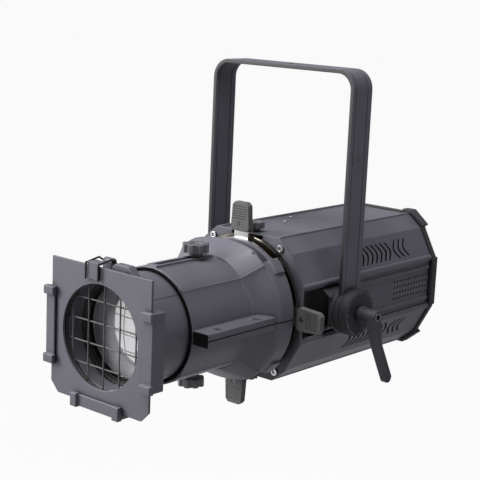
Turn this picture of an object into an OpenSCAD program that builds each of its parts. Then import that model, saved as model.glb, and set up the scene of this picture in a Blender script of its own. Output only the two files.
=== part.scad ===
// Profile spotlight with framing shutters, hung from a flat-bar yoke.
// Part frame: millimetres, +Z up, the beam leaves along -Y.
// Origin: centre of the clamp bolt hole, on the top face of the yoke's crossbar.

/* [Yoke] */
// Height of the crossbar's top face above the tilt axis
hang_h = 293; // [290:1:340]
// Width of the flat bar
bar_w = 38; // [34:1:42]
// Thickness of the flat bar
bar_t = 5; // [4:0.5:6]
// Outer bend radius of the two top corners
bend_r = 24; // [16:1:40]
// Clearance hole for the hook clamp bolt
bolt_hole_d = 13; // [9:0.5:14]

/* [Tilt lock] */
// Diameter of the clamp discs on the tilt axis
disc_d = 57; // [52:1:62]
// Thickness of the outer clamp disc
disc_t = 15; // [12:0.5:18]
// Length of the lock lever, hub centre to tip
lever_len = 77; // [60:1:95]
// Diameter of the clamp screw
pivot_d = 10; // [8:0.5:12]

/* [Housing] */
// Width across the side bands
body_w = 178; // [170:1:206]
// Height over the edge lips
body_h = 180; // [176:1:216]
// Width of the flat top
top_w = 98; // [92:1:106]
// Width across the shoulder edges
shoulder_w = 137; // [130:1:148]
// Height between the shoulder edges
shoulder_h = 144; // [132:1:160]
// Height of the side band between its ridges
band_h = 68; // [64:1:74]
// Housing length ahead of the tilt axis
front_len = 66; // [64:1:72]
// Housing length behind the tilt axis
rear_len = 214; // [205:1:250]
// Sheet thickness of the shells
wall = 2; // [1.5:0.25:3]

/* [Barrel] */
// Outer diameter of the straight part
barrel_d = 136; // [134:1:142]
// Height of the crown's two ridges over the straight part
crown_up = 2.6; // [2:0.2:3.6]
// Outer diameter of the rear ring
ring_d = 184; // [178:1:194]
// Length from the tilt axis to the barrel's front edge
barrel_front = 236; // [230:1:244]

/* [Lens tube] */
// Outer diameter of the sliding lens tube
tube_d = 127; // [124:0.5:127]
// Front face of the colour frame, ahead of the tilt axis
frame_front = 313; // [305:1:325]
// Side of the square colour frame
frame_size = 158; // [156:1:162]
// Light opening in the colour frame
frame_hole_d = 120; // [100:1:124]

/* [Shutters] */
// Thickness of a shutter blade
blade_t = 0.8; // [0.6:0.1:1]
// Width of a shutter blade
blade_w = 74; // [70:1:78]
// Length of a shutter grip
grip_l = 36; // [30:1:44]
// Width of a shutter grip at its root
grip_w = 29; // [25:1:32]
// Diameter of the gate opening
gate_d = 76; // [68:1:80]

/* [Knobs] */
// Diameter of the focus knobs
focus_knob_d = 32; // [26:1:36]
// Diameter of the barrel lock knobs
lock_knob_d = 22; // [18:1:26]

/* [Hidden] */
$fn = 64;
half_w = body_w / 2;
lip_h = 2;
lip_w = 4;
panel_y = body_h / 2 - lip_h;
edge_y = band_h / 2 - 4.5;
rail_r = 4.2;
gap = 0.3;
body_len = front_len + rear_len;
// yoke and tilt axis, outwards along X
hat_x = half_w + 11.2;
inner_disc_t = 5.5;
arm_in = hat_x + inner_disc_t + gap;
arm_out = arm_in + bar_t;
disc_out = arm_out + disc_t;
hub_out = disc_out + 27;
pivot_r = pivot_d / 2;
// stack along the beam, forwards from the front plate
plate_t = 4;
plate_front = front_len + plate_t;
collar_r = 56.6;
collar_back = front_len - 18;
gate_back = plate_front + 3.4;
gate_t = 1.6;
layer_step = 2 * blade_t;
blade_0 = gate_back + gate_t + 0.6;
gate_front = blade_0 + 4 * layer_step - 0.2;
gate_r = 84;
// barrel
barrel_r = barrel_d / 2;
bore_r = tube_d / 2 + 0.5;
ring_r = ring_d / 2;
ring_rear = gate_front + gate_t + 2.6;
ring_front = ring_rear + 22;
flare_front = ring_front + 28;
crown_r = barrel_r + crown_up;
crown_rear = ring_front + 4;
pad_w = 16;
crown_top = barrel_r + 0.8;
pad_y = crown_top + 2.4;
slot_w = 7.4;
slot_back = flare_front + 12;
slot_front = barrel_front - 10;
flange_x = 90;
flange_h = 8;
seam_z = [slot_back - 7, barrel_front - 28];
// lens tube
tube_r = tube_d / 2;
tube_in = tube_r - 3;
tube_back = flare_front + 10;
tube_front = frame_front - 29;
holder_front = frame_front + 5;
knob_z = flare_front + 26;
frame_half = frame_size / 2;
frame_t = 3;
mesh_z = frame_front - 7.4;
// shutters
grip_y = gate_r + 8;
tang_w = 22;
// housing rear
panel_t = 3;
board_z = -(rear_len - 9);
sink_back = -84;
fan_t = 25;
lock_z = front_len - 12;

// Beam frame: X to the right, Y up, Z forward along the beam, from the tilt axis.
module beam() {
  translate([0, 0, -hang_h]) rotate([90, 0, 0]) children();
}

// Box from its low corner to its high corner.
module slab(a, b) {
  translate(a) cube(b - a);
}

module both_sides() {
  children();
  mirror([1, 0, 0]) children();
}

// Round bar along the beam.
module rod_z(r, z0, z1) {
  translate([0, 0, z0]) cylinder(r = r, h = z1 - z0);
}

// Round bar along X.
module rod_x(r, x0, x1) {
  translate([x0, 0, 0]) rotate([0, 90, 0]) cylinder(r = r, h = x1 - x0);
}

// Round bar along Y.
module rod_y(r, y0, y1) {
  translate([0, y0, 0]) rotate([-90, 0, 0]) cylinder(r = r, h = y1 - y0);
}

module ring_z(r_out, r_in, z0, z1) {
  difference() {
    rod_z(r_out, z0, z1);
    rod_z(r_in, z0 - 1, z1 + 1);
  }
}

// Wire of radius r from point p to point q.
module wire(p, q, r) {
  d = q - p;
  translate(p)
    rotate([0, acos(d[2] / norm(d)), atan2(d[1], d[0])])
      cylinder(r = r, h = norm(d));
}

// Housing outline, counter-clockwise from the lower right of the side band.
outline = [
  [half_w, -band_h / 2], [half_w, band_h / 2], [shoulder_w / 2, shoulder_h / 2],
  [top_w / 2, panel_y], [-top_w / 2, panel_y], [-shoulder_w / 2, shoulder_h / 2],
  [-half_w, band_h / 2], [-half_w, -band_h / 2], [-shoulder_w / 2, -shoulder_h / 2],
  [-top_w / 2, -panel_y], [top_w / 2, -panel_y], [shoulder_w / 2, -shoulder_h / 2]];

function left_of(p, q) = [p[1] - q[1], q[0] - p[0]] / norm(q - p);

// Outline moved inwards by d, outwards where d is negative.
function inset(d) = [for (i = [0 : 11])
  let (p = outline[i], n = left_of(outline[(i + 11) % 12], p),
    m = left_of(p, outline[(i + 1) % 12]))
  p + d * (n + m) / (1 + n * m)];

// Yoke: flat bar bent to a U, two rolled grooves along each face.
module bar_profile() {
  g = 1;
  w = 0.7;
  a = bar_w * 0.27;
  b = bar_w * 0.34;
  h = bar_w / 2;
  t = bar_t;
  polygon([[0, -h], [t, -h], [t, -a - w], [t - g, -a], [t, -a + w], [t, b - w], [t - g, b],
    [t, b + w], [t, h], [0, h], [0, b + w], [g, b], [0, b - w], [0, -a + w], [g, -a],
    [0, -a - w]]);
}

module yoke_bar() {
  r_in = bend_r - bar_t;
  color([0.2, 0.19, 0.22]) beam() difference() {
    union() {
      translate([-(arm_in - r_in), hang_h - bar_t, 0])
        rotate([90, 0, 90]) linear_extrude(2 * (arm_in - r_in)) bar_profile();
      both_sides() {
        translate([arm_in - r_in, hang_h - bend_r, 0])
          rotate_extrude(angle = 90) translate([r_in, 0]) bar_profile();
        translate([arm_in, hang_h - bend_r, 0])
          rotate([90, 0, 0]) linear_extrude(hang_h - bend_r) bar_profile();
        rod_x(bar_w / 2, arm_in, arm_out);
      }
    }
    both_sides() rod_x(pivot_r + 0.2, arm_in - 1, arm_out + 1);
    translate([0, 0, 0]) rod_y(bolt_hole_d / 2, hang_h - bar_t - 1, hang_h + 1);
    translate([0, hang_h * 0.64, 0]) rod_x(2, arm_in - 1, arm_out + 1);
  }
}

// Clamp discs outside the arms, each with a pocket that takes the arm's round end.
module tilt_discs() {
  pocket_r = bar_w / 2 + 0.6;
  groove_d = 1.2;
  color([0.16, 0.16, 0.18]) beam() both_sides() difference() {
    rod_x(disc_d / 2, arm_in + gap, disc_out);
    rod_x(pocket_r, arm_in, arm_out + 0.05);
    slab([arm_in, 0, -pocket_r], [arm_out + 0.05, disc_d, pocket_r]);
    rod_x(pivot_r + 0.2, arm_in, disc_out + 1);
    // waist between the two rims
    difference() {
      rod_x(disc_d, arm_out + 3, arm_out + 5);
      rod_x(disc_d / 2 - groove_d, arm_out + 2, arm_out + 6);
    }
  }
}

// Pivot bolt on the side without the lever.
module pivot_bolt() {
  head = disc_out + gap;
  color([0.6, 0.6, 0.62]) beam() mirror([1, 0, 0]) difference() {
    union() {
      rod_x(pivot_r, hat_x - 10, head + 1);
      rod_x(pivot_r + 6, disc_out, disc_out + 2);
      translate([disc_out + 2, 0, 0]) rotate([0, 90, 0])
        cylinder(r = pivot_r + 4.5, h = 7, $fn = 6);
    }
    translate([disc_out + 6, 0, 0]) rotate([0, 90, 0]) cylinder(r = 3.4, h = 10, $fn = 6);
  }
}

// Lock lever: round hub and a flat arm that leans outwards.
module clamp_lever() {
  base = disc_out + gap;
  tip_x = hub_out + 20;
  color([0.15, 0.15, 0.17]) beam() difference() {
    union() {
      rod_x(9.5, base, base + 8);
      rod_x(8, base + 7, hub_out);
      hull() {
        translate([hub_out - 13, 0, 0]) rod_x(7.5, 0, 12);
        translate([hub_out - 4, -lever_len * 0.45, 0]) rod_x(5.6, 0, 9);
      }
      hull() {
        translate([hub_out - 4, -lever_len * 0.45, 0]) rod_x(5.6, 0, 9);
        translate([tip_x - 7, -lever_len + 6, 0]) rod_x(6, 0, 8);
      }
    }
    rod_x(pivot_r + 0.05, base - 1, hub_out + 1);
    rod_x(pivot_r + 1.4, hub_out - 5, hub_out + 1);
  }
}

module clamp_screw() {
  color([0.7, 0.7, 0.72]) beam() difference() {
    union() {
      rod_x(pivot_r, hat_x - 10, hub_out - 1);
      rod_x(pivot_r + 1.1, hub_out - 4.9, hub_out + 0.6);
    }
    translate([hub_out - 3, 0, 0]) rotate([0, 90, 0]) cylinder(r = 3.6, h = 5, $fn = 6);
  }
}

// Front plate: carries the turning collar and closes the housing.
module front_plate() {
  notch = 25;
  color([0.2, 0.19, 0.22]) beam() difference() {
    translate([0, 0, front_len]) linear_extrude(plate_t) polygon(inset(-1.5));
    rod_z(collar_r + 0.4, front_len - 1, plate_front + 1);
    slab([-notch, panel_y - 5, front_len - 1], [notch, panel_y + 9, plate_front + 1]);
    slab([-notch, -panel_y - 9, front_len - 1], [notch, -panel_y + 5, plate_front + 1]);
    screw_spots() rod_z(2.2, front_len - 1, plate_front + 1);
  }
}

// The four corner screws of the front plate.
module screw_spots() {
  x = (top_w + 10) / 2;
  y = (shoulder_h + panel_y * 2) / 4 - 3;
  for (sx = [-1, 1], sy = [-1, 1]) translate([sx * x, sy * y, 0]) children();
}

module socket_screw(r, h, shank) {
  difference() {
    union() {
      cylinder(r = r, h = h);
      translate([0, 0, -shank]) cylinder(r = r * 0.48, h = shank + 0.5);
    }
    translate([0, 0, h * 0.4]) cylinder(r = r * 0.55, h = h, $fn = 6);
  }
}

// Small screws seen on the top face, as (X, distance behind the tilt axis).
top_spots = [[-29.5, -4], [-19, 27], [-34.6, 59], [-4.6, 47]];

module housing_screws() {
  color([0.75, 0.75, 0.77]) beam() {
    screw_spots() translate([0, 0, plate_front]) socket_screw(4.4, 2.3, 10);
    for (p = top_spots) translate([p[0], panel_y, -p[1]])
      rotate([-90, 0, 0]) socket_screw(2.2, 1, 3.4);
    for (sx = [-1, 1], sy = [-1, 1])
      translate([sx * (shoulder_w / 2 - 9), sy * (shoulder_h / 2 - 9), -rear_len])
        mirror([0, 0, 1]) socket_screw(2.8, 1.6, 6);
  }
}

// One bowed chevron slot: apex at u, height 2h, reach a, stroke w.
function bow(t) = pow(abs(t), 1.5);

function chevron(u, a, h, w) = concat(
  [for (i = [3 : -1 : -3]) [u - a * bow(i / 3), h * i / 3]],
  [for (i = [-3 : 3]) [u - a * bow(i / 3) + w, h * i / 3]]);

// Vent slots cut square to the right shoulder face: nine point back, three point forward.
module vents() {
  from = outline[1];
  to = outline[2];
  along = (to - from) / norm(to - from);
  middle = (from + to) / 2;
  turn = atan2(along[1], along[0]) - 90;
  reach = 8;
  high = norm(to - from) * 0.28;
  stroke = 3.3;
  n = [cos(turn), sin(turn)];
  last = rear_len - 87;
  rotate([0, 0, turn]) translate([n * middle, along * middle, 0]) rotate([0, 90, 0])
    for (i = [0 : 11]) translate([0, 0, -5]) linear_extrude(10)
      polygon(i < 9 ? chevron(last - 10 * i, reach, high, stroke)
        : chevron(last + 8 + 11 * (i - 9), -reach, high, stroke));
}

// One half of the housing: bent shell with edge lips and rounded side rails.
module housing_half() {
  inner = inset(wall);
  section = concat([[half_w, edge_y]], [for (i = [1 : 6]) outline[i]],
    [[-half_w, edge_y], [-half_w + wall, edge_y]], [for (i = [6 : -1 : 1]) inner[i]],
    [[half_w - wall, edge_y]]);
  difference() {
    union() {
      translate([0, 0, -rear_len]) linear_extrude(body_len) polygon(section);
      both_sides() {
        slab([top_w / 2 - lip_w, panel_y - wall / 2, -rear_len],
          [top_w / 2, body_h / 2, front_len]);
        translate([half_w - 3, edge_y + rail_r, 0]) rod_z(rail_r, -rear_len, front_len);
      }
    }
    both_sides() vents();
    translate([0, 0, lock_z]) rod_y(3.3, panel_y - 10, panel_y + 5);
    children();
  }
}

module housing_top() {
  color([0.22, 0.21, 0.25]) beam() housing_half()
    for (p = top_spots) translate([p[0], 0, -p[1]]) rod_y(1.2, panel_y - 5, panel_y + 1);
}

module housing_bottom() {
  color([0.22, 0.21, 0.25]) beam() mirror([0, 1, 0]) housing_half();
}

// Perforated plate with two rolled ridges, closing the side band behind the yoke bracket.
module side_plate() {
  columns = 12;
  rows = 4;
  back = -rear_len + panel_t + 0.2;
  front = -bar_w / 2 - 8;
  difference() {
    union() {
      slab([half_w - 4, -edge_y + gap, back], [half_w - 2, edge_y - gap, front]);
      for (s = [-1, 1]) translate([half_w - 3.2, s * (edge_y - 8), 0])
        rod_z(3.4, back + 0.6, front - 0.6);
    }
    for (i = [0 : columns - 1], j = [0 : rows - 1])
      translate([half_w - 6, 11.4 - 7.6 * j, -(rear_len - 83 + 6.8 * i)]) rod_x(1.2, 0, 6);
  }
}

module side_plate_right() {
  color([0.2, 0.19, 0.22]) beam() side_plate();
}

module side_plate_left() {
  color([0.2, 0.19, 0.22]) beam() mirror([1, 0, 0]) side_plate();
}

// Hat-section bracket that carries the tilt axis, on a plate fixed behind the front plate.
module bracket() {
  t = 3;
  root = half_w - 23;
  high = edge_y - 0.9;
  top = bar_w / 2;
  back = -bar_w / 2 - 7;
  difference() {
    union() {
      translate([0, 0, back]) linear_extrude(-2 * back) difference() {
        polygon([[root, -high], [half_w - 3, -high], [hat_x, -top], [hat_x, top],
          [half_w - 3, high], [root, high]]);
        polygon([[root + t, -high + t], [half_w - 4, -high + t], [hat_x - t, -top + t * 0.6],
          [hat_x - t, top - t * 0.6], [half_w - 4, high - t], [root + t, high - t]]);
      }
      slab([root, -high, -back - 1], [root + t, high, front_len]);
    }
    rod_x(pivot_r + gap, hat_x - t - 1, hat_x + 1);
  }
}

module bracket_right() {
  color([0.2, 0.19, 0.22]) beam() bracket();
}

module bracket_left() {
  color([0.2, 0.19, 0.22]) beam() mirror([1, 0, 0]) bracket();
}

module inner_discs() {
  color([0.16, 0.16, 0.18]) beam() both_sides() difference() {
    rod_x(disc_d / 2, hat_x, hat_x + inner_disc_t);
    rod_x(pivot_r + gap, hat_x - 1, hat_x + inner_disc_t + 1);
  }
}

module pivot_nuts() {
  color([0.6, 0.6, 0.62]) beam() both_sides() difference() {
    translate([hat_x - 10.5, 0, 0]) rotate([0, 90, 0])
      cylinder(r = pivot_r + 4.2, h = 7.5, $fn = 6);
    rod_x(pivot_r + 0.05, hat_x - 12, hat_x);
  }
}

// Rear bezel: moulded frame with four corner bumpers and two side lugs.
module rear_bezel() {
  back = rear_len + 8;
  lug = 4;
  color([0.12, 0.12, 0.13]) beam() difference() {
    union() {
      translate([0, 0, -back]) linear_extrude(8) polygon(inset(-2.5));
      both_sides() slab([half_w - 6, -band_h / 2 + 2, -back - 2], [half_w + lug, band_h / 2, -rear_len]);
      for (sx = [0, 1], sy = [0, 1]) mirror([sx, 0, 0]) mirror([0, sy, 0]) bumper(back);
    }
    translate([0, 0, -back - 9]) linear_extrude(back) polygon(inset(6));
  }
}

module bumper(back) {
  a = inset(-5.5)[2];
  b = inset(-5.5)[3];
  c = inset(0);
  translate([0, 0, -back - 5]) linear_extrude(13)
    polygon([c[2], a, b, [b[0] - 14, b[1]], [b[0] - 14, c[3][1]], c[3]]);
}

// Control panel set into the rear of the housing.
panel_in = wall + 0.2;
button_x = [-24, -8, 8, 24];
button_y = 18;
socket_y = -52;
data_x = [-15, -43];
power_x = [15, 43];
screen = [28, 14, 48];

module rear_panel() {
  color([0.14, 0.14, 0.15]) beam() difference() {
    translate([0, 0, -rear_len]) linear_extrude(panel_t) polygon(inset(panel_in));
    for (sx = [-1, 1], sy = [-1, 1])
      translate([sx * (half_w - 3), sy * (edge_y + rail_r), 0])
        rod_z(rail_r + gap, -rear_len - 1, -rear_len + 5);
    slab([-screen[0] - 0.2, screen[2] - screen[1] - 0.2, -rear_len - 1],
      [screen[0] + 0.2, screen[2] + screen[1] + 0.2, -rear_len + panel_t + 1]);
    for (x = button_x) translate([x, button_y, 0]) rod_z(4.8, -rear_len - 1, -rear_len + 5);
    for (x = concat(data_x, power_x))
      translate([x, socket_y, 0]) rod_z(11.5, -rear_len - 1, -rear_len + 5);
    for (i = [-5 : 5])
      slab([10 * i - 1.6, -30, -rear_len - 1], [10 * i + 1.6, -2, -rear_len + 5]);
    for (sx = [-1, 1], sy = [-1, 1])
      translate([sx * (shoulder_w / 2 - 9), sy * (shoulder_h / 2 - 9), 0])
        rod_z(1.5, -rear_len - 1, -rear_len + 5);
  }
}

module display_window() {
  color([0.05, 0.06, 0.08]) beam()
    slab([-screen[0], screen[2] - screen[1], -rear_len - 1],
      [screen[0], screen[2] + screen[1], board_z]);
}

// Round panel socket: flange, body and recess with contacts.
module panel_socket(wide, high, recess_r, pins, pin_r) {
  difference() {
    union() {
      slab([-wide / 2, -high / 2, -rear_len - 2], [wide / 2, high / 2, -rear_len]);
      rod_z(11.2, -rear_len - 1, -rear_len + 11);
    }
    rod_z(recess_r, -rear_len - 3, -rear_len + 8);
  }
  for (i = [0 : pins - 1]) rotate([0, 0, 90 + 360 / pins * i]) translate([5, 0, 0])
    rod_z(pin_r, -rear_len + 3, -rear_len + 9);
}

module data_sockets() {
  color([0.1, 0.1, 0.11]) beam() for (x = data_x) translate([x, socket_y, 0])
    panel_socket(26, 31, 9, 3, 1.2);
}

module power_sockets() {
  color([0.1, 0.11, 0.14]) beam() for (x = power_x) translate([x, socket_y, 0])
    panel_socket(26, 31, 9.6, 3, 1.7);
}

// Push button: cap in the panel, collar behind it, stem towards the board.
module button(i) {
  color([0.3, 0.3, 0.32]) beam() translate([button_x[i], button_y, 0]) {
    rod_z(4.5, -rear_len - 3, -rear_len + panel_t + 1);
    rod_z(6, -rear_len + panel_t + gap, -rear_len + panel_t + 1.8);
    rod_z(2, -rear_len + panel_t + 1, board_z - 1.6);
  }
}

module button_menu() {
  button(0);
}

module button_up() {
  button(1);
}

module button_down() {
  button(2);
}

module button_enter() {
  button(3);
}

// Tray on the housing floor with two uprights under the heat sink.
module chassis_tray() {
  floor_y = -panel_y + wall;
  color([0.6, 0.6, 0.62]) beam() {
    slab([-top_w / 2 + 3, floor_y, -rear_len + panel_t], [top_w / 2 - 3, floor_y + 2, lock_z - 6]);
    for (z = [-14, sink_back]) slab([-40, floor_y + 1, z], [40, -52, z + 3]);
  }
}

// Finned heat sink: base plate towards the lamp, fins towards the fan.
module heat_sink() {
  half = 52;
  fins = 13;
  step = 8;
  comb = [for (i = [0 : fins - 1]) let (x = (i - (fins - 1) / 2) * step)
    each [[x - 1, -14], [x - 1, sink_back], [x + 1, sink_back], [x + 1, -14]]];
  color([0.7, 0.7, 0.72]) beam() translate([0, half, 0]) rotate([90, 0, 0]) linear_extrude(2 * half)
    polygon(concat([[-half, -4], [-half, -14]], comb, [[half, -14], [half, -4]]));
}

module led_module() {
  color([0.85, 0.75, 0.35]) beam() {
    slab([-30, -30, -4], [30, 30, -1]);
    rod_z(14, -2, 1);
  }
}

// Collecting reflector between the light source and the gate.
module reflector() {
  color([0.85, 0.85, 0.87]) beam() rotate_extrude()
    polygon([[16, -1], [19, -1], [34, 14], [45, 30], [51, collar_back - 4],
      [54, collar_back - 4], [54, collar_back - 2], [49, collar_back - 2], [43, 31], [32, 15.5],
      [16, 0.5]]);
}

fan_back = sink_back - fan_t - 0.2;

module fan_frame() {
  half = 46;
  color([0.1, 0.1, 0.1]) beam() difference() {
    union() {
      difference() {
        slab([-half, -half, fan_back], [half, half, sink_back]);
        rod_z(43, fan_back - 1, sink_back + 1);
      }
      rod_z(16, fan_back, fan_back + 5);
      for (a = [45 : 90 : 315]) rotate([0, 0, a]) slab([14, -2, fan_back], [45, 2, fan_back + 3]);
    }
    rod_z(2.05, fan_back + 1.5, fan_back + 6);
    for (sx = [-1, 1], sy = [-1, 1])
      translate([sx * 41.5, sy * 41.5, 0]) rod_z(2.2, fan_back - 1, sink_back + 1);
  }
}

module fan_rotor() {
  front = sink_back - 2;
  back = fan_back + 5.6;
  color([0.14, 0.14, 0.14]) beam() {
    rod_z(17, back, front);
    rod_z(2, fan_back + 2, back + 1);
    intersection() {
      ring_z(41.5, 15, back + 0.5, front - 0.5);
      for (i = [0 : 6]) rotate([0, 0, i * 360 / 7]) translate([0, 0, (back + front) / 2])
        rotate([38, 0, 0]) slab([10, -16, -0.8], [50, 16, 0.8]);
    }
  }
}

module power_supply() {
  floor_y = -panel_y + wall + 2;
  back = -rear_len + 16;
  color([0.55, 0.56, 0.58]) beam() difference() {
    slab([-43, floor_y, back], [43, -20, back + 78]);
    slab([-40, -32, back - 1], [40, -19, back + 9]);
    for (i = [0 : 8]) slab([-30, -22, back + 16 + 6 * i], [30, -19, back + 18 + 6 * i]);
  }
}

// Control board on four posts behind the rear panel.
module control_board() {
  color([0.08, 0.28, 0.14]) beam() {
    slab([-50, 4, board_z], [50, 76, board_z + 1.6]);
    for (x = [-44, 44], y = [10, 70]) translate([x, y, 0])
      rod_z(3, -rear_len + panel_t, board_z + 0.5);
    slab([-20, 30, board_z + 1], [4, 54, board_z + 4]);
    slab([14, 34, board_z + 1], [34, 46, board_z + 5]);
    for (x = [-40, -30]) translate([x, 60, 0]) rod_z(4, board_z + 1, board_z + 13);
  }
}

// Fluted hand knob on the Y axis: stud, neck and lobed head.
module hand_knob(stud_y, seat_y, neck_r, head_r, head_h, flutes, flute_r) {
  neck_h = head_h * 0.5;
  top = seat_y + neck_h + head_h;
  difference() {
    union() {
      rod_y(3, stud_y, seat_y + 2);
      rod_y(neck_r, seat_y, seat_y + neck_h + 1);
      rod_y(head_r, seat_y + neck_h, top);
    }
    for (i = [0 : flutes - 1]) rotate([0, 360 / flutes * i, 0])
      translate([head_r + flute_r * 0.42, 0, 0]) rod_y(flute_r, seat_y + neck_h - 1, top + 1);
    rod_y(head_r * 0.45, top - 1, top + 1);
  }
}

module lock_knob() {
  translate([0, 0, lock_z])
    hand_knob(collar_r + 0.6, panel_y + 0.5, 6, lock_knob_d / 2, 8, 6, 3.4);
}

module lock_knob_top() {
  color([0.13, 0.13, 0.15]) beam() lock_knob();
}

module lock_knob_bottom() {
  color([0.13, 0.13, 0.15]) beam() mirror([0, 1, 0]) lock_knob();
}

module focus_knob() {
  translate([0, 0, knob_z])
    hand_knob(tube_in + 0.7, pad_y + 0.5, 8, focus_knob_d / 2, 10, 8, 4.4);
}

module focus_knob_top() {
  color([0.14, 0.14, 0.16]) beam() focus_knob();
}

module focus_knob_bottom() {
  color([0.14, 0.14, 0.16]) beam() mirror([0, 1, 0]) focus_knob();
}

// Barrel radius at station z: straight, then a soft flare up to the rear ring.
function flare_r(z) = barrel_r + (ring_r - barrel_r)
  * (1 - cos(180 * min(1, max(0, (flare_front - z) / (flare_front - ring_front))))) / 2;

flare_steps = 8;
flare_z = [for (i = [0 : flare_steps])
  flare_front - (flare_front - ring_front) * i / flare_steps];

// Upper half of the barrel casting, split on the beam axis.
module barrel_half() {
  skin = 3.5;
  lip = 1.5;
  boss_r = gate_r - 0.5;
  rear_lip = gate_front + gate_t;
  web_z = ring_rear + 0.8;
  web_t = 2.5;
  shell = concat([[barrel_r, barrel_front]], [for (z = flare_z) [flare_r(z), z]],
    [[ring_r, ring_rear], [ring_r - skin, ring_rear]],
    [for (i = [flare_steps : -1 : 0]) [flare_r(flare_z[i]) - skin, flare_z[i]]],
    [[bore_r, flare_front + 1], [bore_r, barrel_front]]);
  bend_z = flare_front + 1;
  crown_low = barrel_r - lip;
  rise_rear = crown_rear + 3;
  rise_up = ring_r - 7.5 - crown_top;
  lean = atan2(rise_up, bend_z - rise_rear);
  // the crown's straight part is a flatter arc than the barrel, through its top and both ridges
  ridge = crown_r * sqrt(0.5);
  dip = crown_top - ridge;
  crown_arc = (ridge * ridge + dip * dip) / (2 * dip) - 0.2;
  difference() {
    union() {
      difference() {
        union() {
          rotate_extrude(angle = 180) polygon(shell);
          rotate([0, 0, 45]) rotate_extrude(angle = 90)
            polygon([[crown_r, bend_z], [ring_r + 0.5, rise_rear], [ring_r + 0.5, crown_rear],
              [crown_low, crown_rear], [crown_low, bend_z]]);
        }
        // the rise to the rear ring is flattened across its top
        difference() {
          slab([-75, 60, crown_rear - 0.6], [75, 115, bend_z + 0.2]);
          translate([0, crown_top + 0.6, bend_z]) rotate([lean, 0, 0]) translate([0, -200, -150])
            cylinder(r = 200, h = 300, $fn = 128);
        }
      }
      difference() {
        intersection() {
          translate([0, crown_top - crown_arc, 0])
            rod_z(crown_arc, bend_z - 0.5, barrel_front - 0.6);
          translate([0, 0, bend_z - 1]) linear_extrude(barrel_front)
            polygon([[0, 1.2], [110, 111.2], [-110, 111.2]]);
        }
        rod_z(crown_low - 0.8, bend_z - 2, barrel_front);
      }
      rotate_extrude(angle = 180) polygon([[60, rear_lip], [boss_r, rear_lip],
        [boss_r, web_z], [ring_r - 2, web_z], [ring_r - 2, web_z + web_t],
        [60, web_z + web_t]]);
      slab([-pad_w / 2, barrel_r - 2, slot_back - 8], [pad_w / 2, pad_y, barrel_front - 1.2]);
      both_sides() {
        slab([bore_r + 1.5, 0, crown_rear + 6], [flange_x, flange_h, barrel_front - 1.8]);
        rotate([0, 0, 36]) rotate_extrude(angle = 14)
          polygon([[ring_r - 3, ring_rear + 1.4], [ring_r + 3, ring_rear + 1.4],
            [ring_r + 3, ring_front - 6], [ring_r - 3, ring_front - 0.4]]);
      }
    }
    // drop-in slot behind the crown
    rotate([0, 0, 48]) rotate_extrude(angle = 84)
      polygon([[boss_r - 0.5, ring_rear - 1], [ring_r + 9, ring_rear - 1],
        [ring_r + 9, crown_rear + 0.4], [bore_r - 6, crown_rear + 0.4],
        [bore_r - 6, web_z + web_t + gap], [boss_r - 0.5, web_z + web_t + gap]]);
    // slot for the focus knob
    slab([-slot_w / 2, bore_r - 5, slot_back], [slot_w / 2, pad_y + 1, slot_front]);
    both_sides() {
      for (z = seam_z) translate([flange_x - 10, 0, z]) {
        rod_y(2.2, -1, flange_h + 1);
        rod_y(4.4, flange_h - 3, flange_h + 30);
      }
      rotate([0, 0, 44]) translate([ring_r + 0.5, 0, 0]) rod_z(2.2, ring_rear - 1, ring_rear + 9);
    }
  }
}

module barrel_upper() {
  color([0.23, 0.22, 0.26]) beam() barrel_half();
}

module barrel_lower() {
  color([0.23, 0.22, 0.26]) beam() mirror([0, 1, 0]) barrel_half();
}

module barrel_screws() {
  color([0.75, 0.75, 0.77]) beam() both_sides() for (z = seam_z)
    translate([flange_x - 10, flange_h - 3, z]) rotate([-90, 0, 0])
      socket_screw(3.9, 2.6, 2 * flange_h - 5);
}

// Turning collar with the rear gate plate and the four posts that space the gate.
module gate_collar() {
  post_r = 3.5;
  color([0.72, 0.72, 0.74]) beam() {
    difference() {
      union() {
        rod_z(collar_r, collar_back, gate_back);
        rod_z(collar_r + 9, plate_front + 0.4, gate_back);
        rod_z(gate_r + 3.4, gate_back, gate_back + gate_t);
      }
      rod_z(52, collar_back - 1, gate_back);
      rod_z(gate_d / 2, gate_back - 1, gate_back + gate_t + 1);
    }
    for (a = [45 : 90 : 315]) rotate([0, 0, a]) translate([gate_r - 6, 0, 0])
      rod_z(post_r, gate_back + gate_t / 2, gate_front);
  }
}

module collar_keeper() {
  color([0.5, 0.5, 0.52]) beam() ring_z(collar_r + 6, collar_r + 0.05, front_len - 5, front_len - 0.4);
}

module gate_plate() {
  color([0.75, 0.75, 0.77]) beam() ring_z(gate_r - 0.5, gate_d / 2, gate_front, gate_front + gate_t);
}

// Shutter blade in layer i, drawn for the top position.
module blade(i) {
  half = blade_w / 2;
  low = -3;
  shoulder = gate_r - 26;
  neck = gate_r - 11;
  translate([0, 0, blade_0 + i * layer_step]) linear_extrude(blade_t)
    polygon([[-half, low], [half, low], [half, shoulder], [tang_w / 2, neck],
      [tang_w / 2, grip_y + 13], [-tang_w / 2, grip_y + 13], [-tang_w / 2, neck],
      [-half, shoulder]]);
}

module blade_top() {
  color([0.8, 0.8, 0.82]) beam() blade(3);
}

module blade_bottom() {
  color([0.8, 0.8, 0.82]) beam() rotate([0, 0, 180]) blade(2);
}

module blade_right() {
  color([0.8, 0.8, 0.82]) beam() rotate([0, 0, -90]) blade(1);
}

module blade_left() {
  color([0.8, 0.8, 0.82]) beam() rotate([0, 0, 90]) blade(0);
}

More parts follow.
